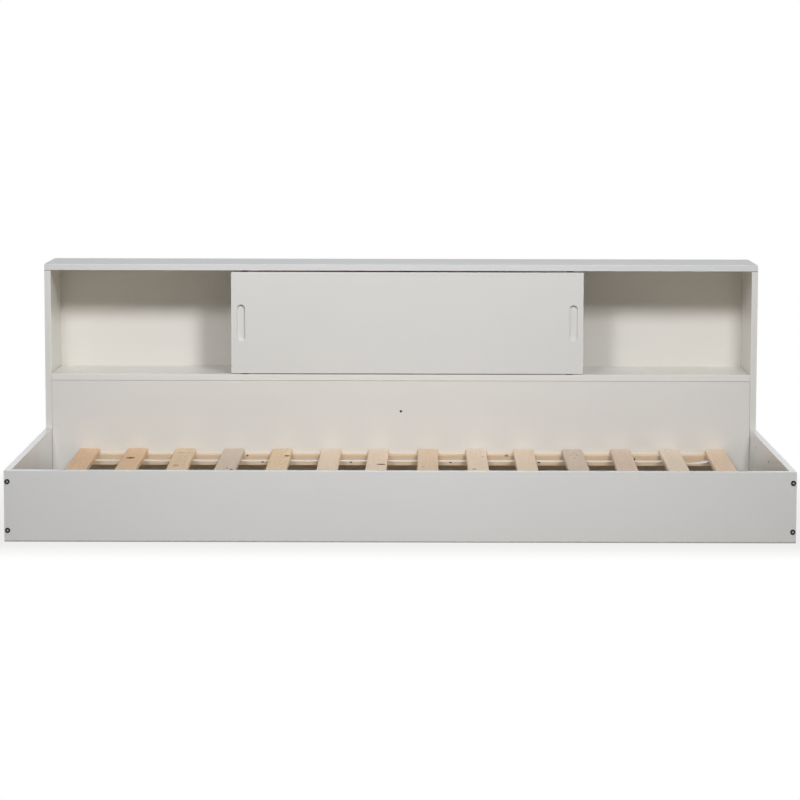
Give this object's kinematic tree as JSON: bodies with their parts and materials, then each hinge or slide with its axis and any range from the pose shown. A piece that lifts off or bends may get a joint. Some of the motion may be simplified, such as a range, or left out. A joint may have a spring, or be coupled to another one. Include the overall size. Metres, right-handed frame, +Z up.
{
  "type": "storage bed",
  "caption": "Low white box bed on pine slats, with a long storage cabinet behind it that has open bays and a half-width sliding door with routed finger pulls.",
  "frame": {"origin": "on the floor, at the middle of the length and of the depth", "axes": "+X along the bed to the right seen from the front, +Y from the front rail to the cabinet's back, +Z up"},
  "size_m": [2.06, 1.1925, 0.663],
  "materials": {
    "painted_board": "satin white paint",
    "painted_panel": "satin white paint on thin panel",
    "pine": "planed, untreated",
    "webbing": "woven tape",
    "zinc_steel": "zinc plated",
    "black_steel": "blackened",
    "grey_plastic": "moulded",
    "dark_plastic": "moulded",
    "beech": "fluted dowel rod"
  },
  "bodies": {
    "bed": {"front_rail": "painted_board", "left_end_panel": "painted_board", "right_end_panel": "painted_board", "cabinet_left_side": "painted_board", "cabinet_right_side": "painted_board", "cabinet_top": "painted_board", "cabinet_shelf": "painted_board", "lower_panel": "painted_board", "centre_divider": "painted_board", "centre_support": "painted_board", "cabinet_back_panel": "painted_panel", "slat_01": "pine", "slat_02": "pine", "slat_03": "pine", "slat_04": "pine", "slat_05": "pine", "slat_06": "pine", "slat_07": "pine", "slat_08": "pine", "slat_09": "pine", "slat_10": "pine", "slat_11": "pine", "slat_12": "pine", "slat_13": "pine", "slat_14": "pine", "front_batten": "pine", "back_batten": "pine", "front_ribbon": "webbing", "back_ribbon": "webbing", "ribbon_staples": "zinc_steel", "barrel_nuts": "zinc_steel", "cam_bolts": "zinc_steel", "cam_discs": "zinc_steel", "batten_screws": "zinc_steel", "back_panel_screws": "zinc_steel", "corner_bolts": "black_steel", "centre_screw": "black_steel", "bolt_socket_caps": "grey_plastic", "bed_dowels": "beech", "cabinet_dowels": "beech", "divider_dowels": "beech"},
    "door": {"sliding_door": "painted_board", "door_bottom_glides": "dark_plastic", "door_top_guides": "dark_plastic"}
  },
  "joints": [
    {"name": "door_slide", "type": "slide", "parent": "bed", "child": "door", "axis": [1, 0, 0], "range_m": [-0.52, 0.484]}
  ]
}
